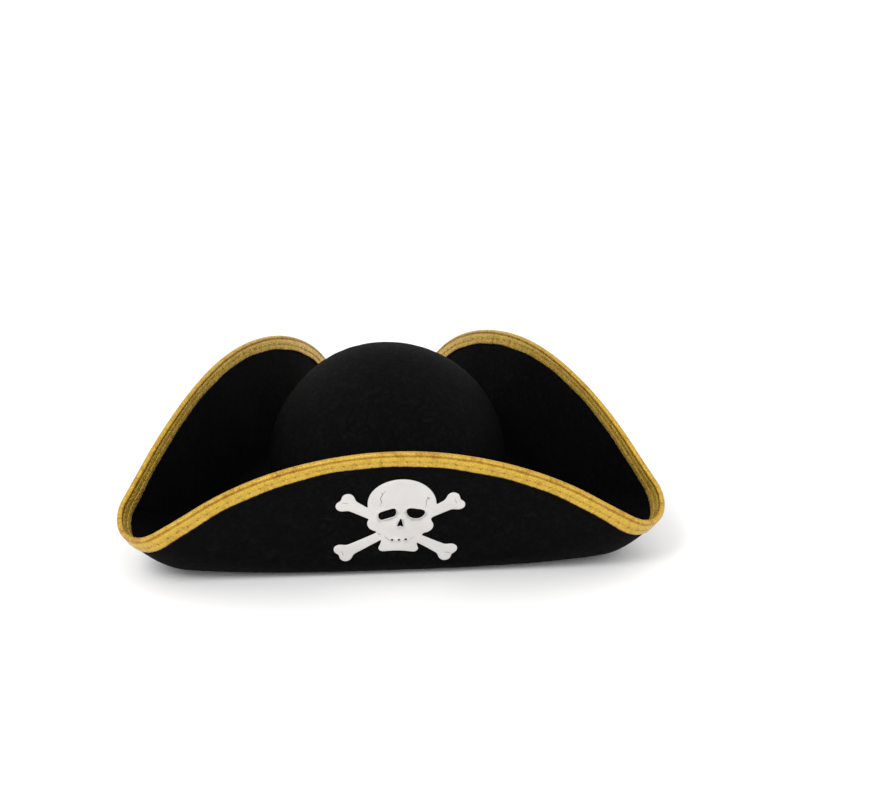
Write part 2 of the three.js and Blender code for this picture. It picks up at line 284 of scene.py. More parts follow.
def felt_finish(felt):
    """Needled felt: matte, with short fibres lying every way and a faint grey bloom."""
    finish = Finish("black_felt")
    place = finish.place()
    drift = finish.noise(place, 40, 3)
    mottle = finish.noise(place, 260, 5, 0.7)
    fibres = finish.noise(place * (1, 1, 0.35) + drift * 0.004, 1900, 3, 0.7)
    cross = finish.noise(place * (0.3, 1, 1), 1500, 3, 0.7)
    nap = fibres * 0.5 + cross * 0.5
    cloud = finish.noise(place, 75, 4, 0.6)
    pale = nap.between(0.38, 0.68) * mottle.between(0.4, 0.68) * (0.35 + 0.65 * cloud.between(0.38, 0.62))
    base = pale.blend(tuple(felt.felt_colour), tuple(felt.fibre_colour))
    soft = finish.bump(mottle, 0.0009, 0.6)
    normal = finish.bump(nap, 0.0005, 0.7, soft)
    return finish.surface(
        Base_Color=base,
        Roughness=0.9 - 0.2 * mottle,
        Normal=normal,
        Specular_IOR_Level=0.045,
    )


def tape_finish(trim, pitch, rows, valleys):
    """Gold lame: flat metallic yarn woven over a brown ground. U runs along the tape and V across it.

    Shade is painted into it: it is darker in its needle holes (painted shade, partly dirt), where U is a
    whole number of pitches and V is at a row, in the valleys between its legs and its rolled edge and in the
    troughs of its wrinkles. The rolled edge is darkened as a painted reflection of dark surroundings, and the
    tape is also darker along its free edges.
    """
    finish = Finish("gold_lame")
    along_across, along, across = finish.weave()
    drift = finish.noise(along_across, 260, 3)
    weave = (along + drift * 0.0004).wave(0.00062) * (across + drift * 0.0003).wave(0.00055)
    stretched = along_across * (1.0, 1.6, 1.0)
    yarn = finish.add("ShaderNodeTexVoronoi", {"feature": "F1"}, Vector=stretched, Scale=1000)
    glint = finish.add("ShaderNodeSeparateColor", None, yarn.part("Color"))
    wrinkle = finish.noise(along_across * (1.0, 0.3, 1.0), 520, 4, 0.65)
    patch = finish.noise(along_across, 130, 3, 0.6)

    def near(place, reach):
        off = across - place
        return (off * off).between(0, reach**2, 1, 0)

    start, end = valleys
    # Needle holes: painted shade in their dimples, partly dirt.
    needle = (near(rows[0], 0.0009) + near(rows[1], 0.0009)) * along.wave(pitch, math.pi / 2).between(0.88, 1)
    # Painted shade in the valleys between the legs and the rolled edge.
    valley_shade = (near(start, 0.0014) + near(end, 0.0014)) * (0.4 + 0.6 * patch)
    # Painted reflection: the rolled edge is darkened as if it mirrored dark surroundings.
    roll = across.between(start, start + 0.0008) * across.between(end - 0.0008, end, 1, 0)
    edge = near(0, 0.0011) + near(start + end, 0.0011)
    # The weave's brown ground and the blotchy patches are the tape's own tone. The wrinkle troughs, valleys
    # and
    # needle holes are painted shade, and the rolled edge is a painted reflection.
    painted_shade_and_tone = (
        weave.between(0.05, 0.5, 1, 0) * 0.16
        # painted shade in the troughs of the wrinkles
        + wrinkle.between(0.52, 0.34) * 0.2
        + patch.between(0.52, 0.36) * 0.22
        + valley_shade * 0.5
        + roll * 0.22
        + needle * 0.9
        + edge * 0.7
    )
    base = painted_shade_and_tone.between(0, 1).blend(tuple(trim.gold), tuple(trim.ground_and_shade_gold))
    creased = finish.bump(wrinkle * 0.7 + patch * 0.3, 0.0013, 0.7)
    woven = finish.bump(weave * 0.5 + glint * 0.9, 0.00026, 0.85, creased)
    return finish.surface(
        Base_Color=base,
        Metallic=0.82,
        Roughness=0.2 + 0.24 * glint,
        Normal=woven,
    )


def thread_finish(name, tint, shine):
    """Spun thread: plies wound round each other. U runs along the thread and V round it."""
    finish = Finish(name)
    _, along, around = finish.weave()
    plies = (around + along).wave(0.00045)
    hair = finish.noise(finish.place(), 3500, 2)
    dark = tuple(0.45 * c for c in tint)
    base = (plies * 0.7 + hair * 0.3).blend(dark, tuple(tint))
    normal = finish.bump(plies, 0.0001, 0.6)
    return finish.surface(Base_Color=base, Roughness=shine + 0.1 * hair, Normal=normal)


def badge_finish(badge):
    """White sheet with a faint tooth, a little dirt and a soft shine."""
    finish = Finish("badge_white")
    place = finish.place()
    cloud = finish.noise(place, 55, 4, 0.6)
    tooth = finish.noise(place, 1600, 3, 0.6)
    speck = finish.noise(place, 700, 2, 0.5).between(0.66, 0.74)
    white = tuple(badge.white)
    dull = tuple(0.86 * c for c in white)
    base = (cloud.between(0.35, 0.7) * 0.55 + speck * 0.5).blend(white, dull)
    return finish.surface(
        Base_Color=base,
        Roughness=0.5 + 0.15 * tooth,
        Normal=finish.bump(tooth, 0.00012, 0.5),
        Specular_IOR_Level=0.35,
    )


def print_finish(badge):
    """The grey ink of the badge's lines, thinner in places."""
    finish = Finish("badge_print")
    worn = finish.noise(finish.place(), 900, 3, 0.6)
    ink = tuple(badge.print_grey)
    base = worn.between(0.4, 0.75).blend(ink, tuple(0.5 * c + 0.2 for c in ink))
    return finish.surface(Base_Color=base, Roughness=0.55 + 0.1 * worn)


def ribbon_finish(lining):
    """Grosgrain: ribs across the ribbon, bound by fine warp. U runs along it and V across."""
    finish = Finish("ribbon_black")
    weave, along, across = finish.weave()
    drift = finish.noise(weave, 300, 2)
    ribs = (along + drift * 0.0002).wave(0.0011)
    warp = across.wave(0.0004)
    black = tuple(lining.black)
    base = (ribs * 0.7 + warp * 0.3).blend(black, tuple(2.4 * c for c in black))
    normal = finish.bump(ribs * 0.8 + warp * 0.2, 0.0003, 0.8)
    return finish.surface(Base_Color=base, Roughness=0.5 + 0.2 * drift, Normal=normal, Sheen_Weight=0.1)


def satin_finish(lining):
    """Label satin: long floats down the label, with a woven selvedge."""
    finish = Finish("label_satin")
    weave, _, across = finish.weave()
    floats = finish.noise(weave * (1.0, 0.12, 1.0), 2600, 2)
    picks = across.wave(0.0005)
    satin = tuple(lining.satin)
    base = (floats * 0.6 + picks * 0.4).blend(tuple(0.86 * c for c in satin), satin)
    normal = finish.bump(floats * 0.6 + picks * 0.4, 0.00008, 0.6)
    return finish.surface(Base_Color=base, Roughness=0.32 + 0.15 * floats, Normal=normal, Sheen_Weight=0.2)


def floor_finish(studio):
    """Plain matte paper."""
    finish = Finish("studio_floor")
    grain = finish.noise(finish.place(), 300, 2)
    white = tuple(studio.floor_white)
    return finish.surface(Base_Color=grain.blend(white, tuple(0.985 * c for c in white)), Roughness=0.9)


# ---- The felt's surface ----


def gauss(distance, width):
    return np.exp(-((distance / width) ** 2))


def smooth(low, high, value):
    share = np.clip((value - low) / (high - low), 0, 1)
    return share * share * (3 - 2 * share)


def unit(vectors):
    return vectors / np.linalg.norm(vectors, axis=-1, keepdims=True)


class Felt:
    """Points on the moulded felt, and off it by a depth below its upper face."""

    def __init__(self, sizes):
        self.sizes = sizes
        self.half_width = sizes.head_width / 2 + sizes.thickness
        self.half_length = sizes.head_length / 2 + sizes.thickness
        self.dome_floor = sizes.crown_height - sizes.dome_height
        self.centre = np.array([middle("felt_hood", 0), middle("sweatband_needle_thread", 1), 0])
        front = (-math.pi / 2, sizes.front_trough, sizes.front_turn)
        left = (sizes.side_heading, sizes.side_trough, sizes.side_turn)
        right = (math.pi - sizes.side_heading, sizes.side_trough, sizes.side_turn)
        self.flaps = []
        for heading, trough, turn in (front, left, right):
            out = (math.cos(heading), math.sin(heading))
            reach = math.hypot(self.half_width * out[0], self.half_length * out[1])
            self.flaps.append((out, reach + trough, turn))

    def wall_radius(self, angle):
        return 1 / np.hypot(np.cos(angle) / self.half_width, np.sin(angle) / self.half_length)

    def turned_up(self, points):
        """Flat brim to turned-up brim: each fold bends on a constant radius along a straight line."""
        felt = self.sizes
        x, y = points[..., 0], points[..., 1]
        moved = points.copy()
        for out, distance, turn in self.flaps:
            along = y * out[0] - x * out[1]
            length = felt.fold_length + felt.fold_spread * np.abs(along / felt.spread_reach) ** 3
            past = np.maximum(x * out[0] + y * out[1] - distance + length / 2, 0)
            radius = length / turn
            bent = np.minimum(past, length)
            angle = bent / radius
            outward = radius * np.sin(angle) + (past - bent) * math.cos(turn) - past
            moved[..., 0] += out[0] * outward
            moved[..., 1] += out[1] * outward
            moved[..., 2] += radius * (1 - np.cos(angle)) + (past - bent) * math.sin(turn)
        return moved

    def face(self, angle, step):
        """Points of the upper face, about the middle of the head opening."""
        felt = self.sizes
        angle, step = np.broadcast_arrays(np.asarray(angle, float), np.asarray(step, float))
        wall = self.wall_radius(angle)
        part = np.clip(np.floor(step), 0, 3)
        share = step - part
        quarter = share * math.pi / 2
        foot = felt.thickness + felt.foot_radius
        brim = wall + felt.foot_radius
        spots = [part == 0, part == 1, part == 2]
        radius = np.select(
            spots,
            [wall * np.sin(quarter), wall, brim - felt.foot_radius * np.cos(quarter)],
            brim + (felt.brim_radius - brim) * share,
        )
        height = np.select(
            spots,
            [
                self.dome_floor + felt.dome_height * np.cos(quarter),
                self.dome_floor + (foot - self.dome_floor) * share,
                foot - felt.foot_radius * np.sin(quarter),
            ],
            felt.thickness,
        )
        return self.turned_up(np.stack([radius * np.cos(angle), radius * np.sin(angle), height], -1))

    def normal(self, angle, step):
        """Which way the upper face faces."""
        tiny = 1e-4
        angle, step = np.broadcast_arrays(np.asarray(angle, float), np.asarray(step, float))
        near = np.maximum(step, 2 * tiny)
        around = self.face(angle + tiny, near) - self.face(angle - tiny, near)
        down = self.face(angle, np.minimum(near + tiny, 4)) - self.face(angle, near - tiny)
        normal = unit(np.cross(down, around))
        return np.where((step < 2 * tiny)[..., None], np.array([0, 0, 1.0]), normal)

    def ripple(self, place, angle, step):
        """Gentle waves that pressing and handling leave in the flaps and the crown."""
        x, y, z = place[..., 0], place[..., 1], place[..., 2]
        lifted = smooth(0.006, 0.05, z) * smooth(2.6, 3.2, step)
        crown = smooth(1.26, 0.7, step)
        wave = (
            np.sin(5 * angle + 0.6) * np.cos(4.1 * step + 0.4)
            + 0.6 * np.sin(11 * angle + 2.1) * np.sin(5.3 * step + 1)
            + 0.3 * np.sin(19 * angle + 0.9) * np.cos(9 * step)
        )
        dents = np.sin(41 * x + 1.1) * np.cos(36 * y + 0.5) + 0.5 * np.sin(62 * y + 30 * x + 58 * z)
        return self.sizes.ripple * (lifted * wave + 0.8 * crown * dents)

    def point(self, angle, step, depth):
        """Points in the felt, in the frame."""
        place = self.face(angle, step)
        lift = self.ripple(place, *np.broadcast_arrays(angle, step)) - depth
        return self.centre + place + self.normal(angle, step) * np.asarray(lift)[..., None]

    def brim_step(self, angle, radius):
        """The step at a radius on the brim as it's cut, before it's turned up."""
        start = self.wall_radius(angle) + self.sizes.foot_radius
        return 3 + (radius - start) / (self.sizes.brim_radius - start)

    def near_edge(self, angle, inward, out):
        """Inward from the brim's edge along the felt, and out from the felt's middle towards the crown."""
        angle, inward, out = np.broadcast_arrays(angle, inward, out)
        depth = self.sizes.thickness / 2 - out
        radius = self.sizes.brim_radius - np.maximum(inward, 0)
        place = self.point(angle, self.brim_step(angle, radius), depth)
        edge = self.point(angle, 4.0, depth)
        back = self.point(angle, self.brim_step(angle, self.sizes.brim_radius - 0.0002), depth)
        return place + unit(edge - back) * np.maximum(-inward, 0)[..., None]

    def beside_wall(self, angle, outside, height):
        """Outside the crown's wall by a distance, at a height."""
        angle, outside, height = np.broadcast_arrays(angle, outside, height)
        wall = self.wall_radius(angle)
        normal = unit(np.stack([np.cos(angle) / self.half_width**2, np.sin(angle) / self.half_length**2], -1))
        x = wall * np.cos(angle) + normal[..., 0] * outside
        y = wall * np.sin(angle) + normal[..., 1] * outside
        return self.centre + np.stack([x, y, height], -1)


# ---- Meshes ----


def piece(name, points, faces, finish, body, nodes=(), weave=None):
    """A smooth mesh that rides on a body, stands for CAD nodes and takes a slot's finish."""
    mesh = bpy.data.meshes.new(name)
    mesh.from_pydata([tuple(p) for p in points], [], [list(f) for f in faces])
    mesh.polygons.foreach_set("use_smooth", [True] * len(mesh.polygons))
    if weave is not None:
        layer = mesh.uv_layers.new(name="weave")
        layer.data.foreach_set("uv", np.concatenate([np.asarray(w, float) for w in weave]).ravel())
    mesh.materials.append(finish)
    mesh.update()
    made = bpy.data.objects.new(name, mesh)
    bpy.context.scene.collection.objects.link(made)
    outwards(made)
    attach(made, body)
    if nodes:
        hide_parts(*nodes)
    return made


def outwards(made):
    """Turns a closed mesh's faces out."""
    mesh = made.data
    mesh.calc_loop_triangles()
    points = np.zeros(len(mesh.vertices) * 3)
    mesh.vertices.foreach_get("co", points)
    points = points.reshape(-1, 3)
    corners = np.zeros(len(mesh.loop_triangles) * 3, int)
    mesh.loop_triangles.foreach_get("vertices", corners)
    a, b, c = (points[corners.reshape(-1, 3)[:, i]] for i in range(3))
    if (a * np.cross(b, c)).sum() < 0:
        mesh.flip_normals()


def grid(points, along=None, across=None, closed=True, caps=()):
    """Faces and weave coordinates of a skin whose rings of points close on themselves.

    The rings join on to each other round a loop if closed; otherwise each end is capped by a point.
    """
    rings, size = points.shape[:2]
    along = np.arange(rings + 1.0) if along is None else along
    across = np.arange(size + 1.0) if across is None else across
    faces, weave = [], []
    for i in range(rings if closed else rings - 1):
        here, there = i * size, (i + 1) % rings * size
        for j in range(size):
            k = (j + 1) % size
            faces.append((here + j, there + j, there + k, here + k))
            u, v = (along[i], along[i + 1]), (across[j], across[j + 1])
            weave.append(((u[0], v[0]), (u[1], v[0]), (u[1], v[1]), (u[0], v[1])))
    flat = list(points.reshape(-1, 3))
    for end, tip in zip((0, (rings - 1) * size), caps):
        for j in range(size):
            k = (j + 1) % size
            order = (end + j, end + k) if end == 0 else (end + k, end + j)
            faces.append((len(flat), *order))
            weave.append(((along[0], across[0]),) * 3)
        flat.append(tip)
    return flat, faces, weave


def running(points):
    """Distance along a closed line of points, one more value than there are points."""
    steps = np.linalg.norm(np.roll(points, -1, axis=0) - points, axis=-1)
    return np.concatenate([[0], np.cumsum(steps)])


def sewn(name, line, above, thread, finish):
    """A closed round thread along a line on the cloth, with the same line again farther above the cloth."""
    tangent = unit(np.roll(line, -1, axis=0) - np.roll(line, 1, axis=0))
    side = unit(above - line)
    up = unit(side - (side * tangent).sum(-1, keepdims=True) * tangent)
    across = np.cross(tangent, up)
    turn = np.arange(THREAD_SIDES) / THREAD_SIDES * TAU
    spokes = np.cos(turn)[None, :, None] * up[:, None] + np.sin(turn)[None, :, None] * across[:, None]
    round_it = np.arange(THREAD_SIDES + 1) / THREAD_SIDES * TAU * thread / 2
    points, faces, weave = grid(line[:, None] + thread / 2 * spokes, running(line), round_it)
    piece(f"{name}_stitches", points, faces, finish, "hat", [f"{name}_thread"], weave)


# ---- The badge's drawing, in its own units about the middle of the crossed bones ----

SKULL_TOP = 43.0
SKULL_TILT = math.radians(-4)
SKULL_ACROSS = 0.8
CROSSED_BONES = ((math.radians(-33.9), 42.8, -1.3, -1.0), (math.radians(29.7), 45.4, 0, 0))
DRAWING = (52, -36, 46)  # half its width, and its lowest and highest
CELL = 0.5  # of the grid that finds the outline
POINT_SPACING = 0.55  # along the outline
INNER_SPACING = 2.6  # of the points within it

# Printed lines: x, y and half the width at each point. They are cracks, the mouth and a cheek's hollow.
STROKES = (
    ((-14.6, 31.2, 0.15), (-13.9, 28.4, 0.5), (-15.4, 25.4, 0.45), (-13.9, 22.0, 0.4), (-15.0, 18.4, 0.1)),
    ((-11.6, 32.6, 0.1), (-13.6, 29.6, 0.34), (-14.1, 28.0, 0.1)),
    ((16.8, 28.6, 0.2), (17.6, 27.5, 0.95), (18.5, 26.3, 0.2)),
    ((17.2, 27.2, 0.35), (16.0, 24.2, 0.35), (16.7, 21.4, 0.28), (15.7, 18.9, 0.08)),
    ((-10.8, -8.0, 0.1), (-9.2, -10.2, 0.34), (-6.9, -11.9, 0.4), (-4.8, -12.2, 0.2)),
    ((7.2, -10.8, 0.1), (8.8, -9.7, 0.28), (10.4, -8.2, 0.08)),
    ((-15.0, -6.4, 0.15), (-14.2, -7.0, 0.7), (-13.4, -7.4, 0.15)),
)
BONE_END = ((-2.2, 1.4, 0.08), (-0.6, 0.5, 0.3), (0.2, -0.9, 0.3), (1.6, -1.6, 0.08))


def capsule(x, y, a, b, wide, narrow):
    """Distance from a rod that is narrower in its middle."""
    ax, ay = a
    dx, dy = b[0] - ax, b[1] - ay
    share = np.clip(((x - ax) * dx + (y - ay) * dy) / (dx * dx + dy * dy), 0, 1)
    radius = narrow + (wide - narrow) * (2 * share - 1) ** 2
    return np.hypot(x - ax - share * dx, y - ay - share * dy) - radius


def disc(x, y, cx, cy, rx, ry):
    """Distance outside an ellipse."""
    return (np.hypot((x - cx) / rx, (y - cy) / ry) - 1) * min(rx, ry)


def plane(x, y, px, py, facing):
    """Distance past a straight edge through a point, on the side it faces."""
    turn = math.radians(facing)
    return (x - px) * math.cos(turn) + (y - py) * math.sin(turn)


def melt(a, b, size):
    """Union with a fillet."""
    share = np.clip(0.5 + 0.5 * (b - a) / size, 0, 1)
    return b + (a - b) * share - size * share * (1 - share)


def common(*parts, size=0.6):
    """Intersection with rounded corners."""
    whole = parts[0]
    for each in parts[1:]:
        whole = -melt(-whole, -each, size)
    return whole


def skull(x, y):
    """Distance outside the skull, whose holes are cut later."""
    head = disc(x, y, 0, SKULL_TOP - 22.4, 23.6, 22.4)
    cheeks = np.minimum(disc(x, y, -15.4, 2.2, 7.5, 6.9), disc(x, y, 15.4, 2.2, 7.5, 6.9))
    temples = common(np.abs(x) - 20.6, y - 20, -y)
    face = common(np.abs(x) - 16, y - 18, -6.5 - y)
    waist = np.minimum(12.2 + 0.022 * (y + 10.5) ** 2, 14)
    foot = common(-23.2 - y, -disc(x, y, 0, -53.2, 42, 31.4), size=1.0)
    jaw = common(common(np.abs(x) - waist, foot, size=4.5), y)
    whole = melt(head, cheeks, 2.4)
    for each in (temples, face, jaw):
        whole = melt(whole, each, 1.6)
    return whole


def holes(x, y):
    """Distance outside the eyes, the nose and the gaps between the teeth."""
    slot = common(
        plane(x, y, -9.8, 14.7, 116),
        plane(x, y, -8.5, 7.4, -65),
        plane(x, y, -15.5, 8.6, 195),
        plane(x, y, -3.6, 13.3, 7),
        size=3.0,
    )
    half_round = common(disc(x, y, 9.9, 14.9, 6.4, 6.5), plane(x, y, 10, 17.3, 84), size=3.0)
    sides = plane(x, y, 1.2, 4.3, 15.6), plane(x, y, -1.2, 4.3, 164.4)
    nose = common(*sides, plane(x, y, 0, 0.4, -90), size=0.8)
    nose = np.maximum(nose, -disc(x, y, 0, 0.2, 0.7, 0.8))
    teeth = [disc(x, y, cx, cy, 0.8, 1.1) for cx, cy in ((-4.8, -12.2), (0, -12), (4.7, -11.3))]
    return np.minimum.reduce([slot, half_round, nose, *teeth])


def badge_shape(x, y):
    """Distance outside the whole badge."""
    c, s = math.cos(SKULL_TILT), math.sin(SKULL_TILT)
    u, v = (x - SKULL_ACROSS) * c + y * s, y * c - (x - SKULL_ACROSS) * s
    whole = skull(u, v)
    for tilt, reach, across, up in CROSSED_BONES:
        c, s = math.cos(tilt), math.sin(tilt)
        bx, by = (x - across) * c + (y - up) * s, (y - up) * c - (x - across) * s
        bone = common(np.abs(bx) - reach, capsule(bx, by, (-reach, 0), (reach, 0), 5.4, 3.3))
        for end in (-1, 1):
            for side in (-1, 1):
                bone = melt(bone, disc(bx, by, end * reach, side * 3.9, 4.3, 4.3), 3.4)
        whole = melt(whole, bone, 1.0)
    return -melt(-whole, holes(u, v), 0.3)


def outlines(shape):
    """Closed lines where a distance is zero, with points evenly spaced."""
    half_x, low_y, high_y = DRAWING
    xs = np.arange(-half_x, half_x + CELL, CELL)
    ys = np.arange(low_y, high_y + CELL, CELL)
    value = shape(*np.meshgrid(xs, ys, indexing="ij"))
    inside = value < 0
    crossing, links = {}, {}

    def cross(i, j, k, m):
        key = (i, j, k, m)
        if key not in crossing:
            share = value[i, j] / (value[i, j] - value[k, m])
            crossing[key] = np.array([xs[i] + (xs[k] - xs[i]) * share, ys[j] + (ys[m] - ys[j]) * share])
        return key

    mixed = inside[:-1, :-1].astype(int) + inside[1:, :-1] + inside[1:, 1:] + inside[:-1, 1:]
    for i, j in np.argwhere((mixed > 0) & (mixed < 4)):
        corners = [(i, j), (i + 1, j), (i + 1, j + 1), (i, j + 1)]
        ends = []
        for a, b in zip(corners, corners[1:] + corners[:1]):
            if inside[a] != inside[b]:
                ends.append(cross(*min(a, b), *max(a, b)))
        for a, b in zip(ends[::2], ends[1::2]):
            links.setdefault(a, []).append(b)
            links.setdefault(b, []).append(a)
    loops = []
    while links:
        start = next(iter(links))
        line, here = [start], start
        while links.get(here):
            there = links[here].pop()
            links[there].remove(here)
            line.append(there)
            here = there
        for key in set(line):
            links.pop(key, None)
        raw = np.array([crossing[key] for key in line[:-1]])
        if len(raw) > 4:
            loops.append(raw)
    even = []
    for raw in loops:
        run = running(raw)
        count = max(8, int(round(run[-1] / POINT_SPACING)))
        at = np.arange(count) / count * run[-1]
        ring = np.concatenate([raw, raw[:1]])
        line = np.stack([np.interp(at, run, ring[:, k]) for k in (0, 1)], -1)
        for _ in range(3):
            line = line - slope(shape, line) * shape(line[:, 0], line[:, 1])[:, None]
        even.append(line)
    return even


def slope(shape, line):
    """Which way a distance grows, at each point of a line."""
    tiny = 0.02
    x, y = line[:, 0], line[:, 1]
    grow = np.stack([shape(x + tiny, y) - shape(x - tiny, y), shape(x, y + tiny) - shape(x, y - tiny)], -1)
    return grow / np.maximum(np.linalg.norm(grow, axis=-1, keepdims=True), 1e-9)


# ---- One operator for each piece ----


class TRICORN_OT_felt_hood(bpy.types.Operator):
    """Mould the felt crown and brim and turn the three flaps up"""

    bl_idname = "tricorn.felt_hood"
    bl_label = "Felt Hood"

    def execute(self, context):
        settings = context.scene.tricorn_felt
        felt = Felt(settings)
        around = 360
        angles = np.arange(around) / around * TAU + math.pi / 2
        angles = angles - CROWDING * np.sin(3 * (angles - math.pi / 2))
        steps = np.concatenate([
            np.linspace(0.02, 1, 15),
            np.linspace(1, 2, 8)[1:],
            np.linspace(2, 3, 6)[1:],
            3 + np.linspace(0, 1, 61)[1:],
        ])
        half = settings.thickness / 2
        upper = [felt.point(angles, step, 0) for step in steps[:-1]]
        rim = [
            felt.near_edge(angles, -half * math.sin(turn), half * math.cos(turn))
            for turn in np.linspace(0, math.pi, 7)
        ]
        lower = [felt.point(angles, step, settings.thickness) for step in steps[-2::-1]]
        rings = np.array([*upper, *rim, *lower])
        tips = [felt.point(0.0, 0.0, 0), felt.point(0.0, 0.0, settings.thickness)]
        points, faces, _ = grid(rings, closed=False, caps=tips)
        piece("hood_felt", points, faces, felt_finish(settings), "hat", ["felt_hood"])
        return {"FINISHED"}


class TRICORN_OT_edge_binding(bpy.types.Operator):
    """Fold the gold tape over the brim's edge"""

    bl_idname = "tricorn.edge_binding"
    bl_label = "Edge Binding"

    def execute(self, context):
        scene = context.scene
        trim = scene.tricorn_trim
        felt = Felt(scene.tricorn_felt)
        angles, along = even_angles(felt, trim.stitches * POINTS_PER_STITCH)
        near = felt.sizes.thickness / 2 + 0.5 * trim.gap
        reach = near + trim.thickness + 0.5 * trim.gap
        width, row = trim.width, trim.width - trim.inset
        # Rows of points from a leg's free edge, closer together at the stitches, out of 8.8 to the roll.
        from_edge = (0, 0.3, 0.8, 1.5, 2.2, 2.8, 3.3, 3.7, 4.0, 4.3, 4.7, 5.2, 5.8, 6.5, 7.1, 7.6, 8.0, 8.4)
        leg = width * (1 - np.array(from_edge) / 8.8)
        turns = np.linspace(-math.pi / 2, math.pi / 2, 11)
        phase = along[:-1, None] / along[-1] * TAU * trim.stitches
        lap = 0.0005 * smooth(0, 0.0015, along[:-1]) * smooth(0.017, 0.007, along[:-1])

        def outside(side):
            """One leg's outer face, from its free edge to the roll."""
            inward = np.broadcast_to(leg, (len(angles), len(leg)))
            free = smooth(0.001, 0.007, inward)
            puff = 0.00018 * free * (0.5 - 0.5 * np.cos(phase))
            crumple = 0.00009 * free * (
                np.sin(phase * 2.3 + 700 * inward + side) * np.sin(phase * 0.11)
                + np.sin(phase * 1.4 - 500 * inward) * np.cos(phase * 0.07 + side)
            )
            crease = -0.00036 * gauss(inward - 0.0006, 0.0007)
            groove = -0.00012 * gauss(inward - row, 0.0006)
            hole = -0.00045 * gauss(inward - row, 0.0005) * gauss(np.sin(phase / 2), 0.3)
            hem = -0.0003 * gauss(inward - width, 0.0004)
            out = reach + puff + crumple + crease + groove + hole + hem + lap[:, None]
            wander = 0.0002 * np.sin(phase * 0.21 + 2 * side) * free
            return felt.near_edge(angles[:, None], inward + wander, side * out)

        bulge = reach + 0.0001 + lap
        roll = []
        for turn in turns:
            pinch = 0.00022 * gauss(abs(turn) - math.pi / 2, 0.3)
            roll.append(
                felt.near_edge(angles, -bulge * math.cos(turn), (bulge - pinch) * math.sin(turn))
            )
        inside_leg = np.linspace(width - 0.0002, 0, 5)
        inner = [felt.near_edge(angles, inward, near) for inward in inside_leg]
        inner += [felt.near_edge(angles, -near * math.cos(t), near * math.sin(t)) for t in turns[-2:0:-2]]
        inner += [felt.near_edge(angles, inward, -near) for inward in inside_leg[::-1]]
        rings = np.concatenate([
            outside(-1),
            np.stack(roll, 1),
            outside(1)[:, ::-1],
            np.stack(inner, 1),
        ], axis=1)
        across = running(rings[100])
        stitched, last = from_edge.index(4.0), 2 * len(leg) + len(turns) - 1
        rows = across[stitched], across[last - stitched]
        valleys = across[len(leg)], across[last - len(leg)]
        finish = tape_finish(trim, float(along[-1]) / trim.stitches, rows, valleys)
        points, faces, weave = grid(rings, along, across)
        tape = piece("binding_tape", points, faces, finish, "hat", ["edge_binding"], weave)
        return {"FINISHED"}


def even_angles(felt, count):
    """Angles that are evenly spaced along the brim's edge, and the distance at each."""
    samples = 2880
    fine = np.arange(samples) / samples * TAU + math.pi / 2
    run = running(felt.point(fine, 4.0, felt.sizes.thickness / 2))
    at = np.arange(count + 1) / count * run[-1]
    angles = np.interp(at, run, np.append(fine, fine[0] + TAU))
    return angles[:-1], at


class TRICORN_OT_binding_threads(bpy.types.Operator):
    """Sew the gold tape on with a needle thread outside and a bobbin thread inside"""

    bl_idname = "tricorn.binding_threads"
    bl_label = "Binding Threads"

    def execute(self, context):
        scene = context.scene
        trim = scene.tricorn_trim
        felt = Felt(scene.tricorn_felt)
        finish = thread_finish("gold_thread", trim.thread_gold, 0.4)
        angles, along = even_angles(felt, trim.stitches * POINTS_PER_STITCH)
        row = trim.width - trim.inset
        phase = along[:-1] / along[-1] * TAU * trim.stitches
        height = felt.sizes.thickness / 2 + trim.gap + trim.thickness + trim.thread * 0.15
        dip = 0.00055 * gauss(np.sin(phase / 2), 0.32)
        for name, side in (("binding_needle", -1), ("binding_bobbin", 1)):
            line, above = (felt.near_edge(angles, row, side * (height + lift)) for lift in (-dip, 0.001))
            sewn(name, line, above, trim.thread, finish)
        return {"FINISHED"}


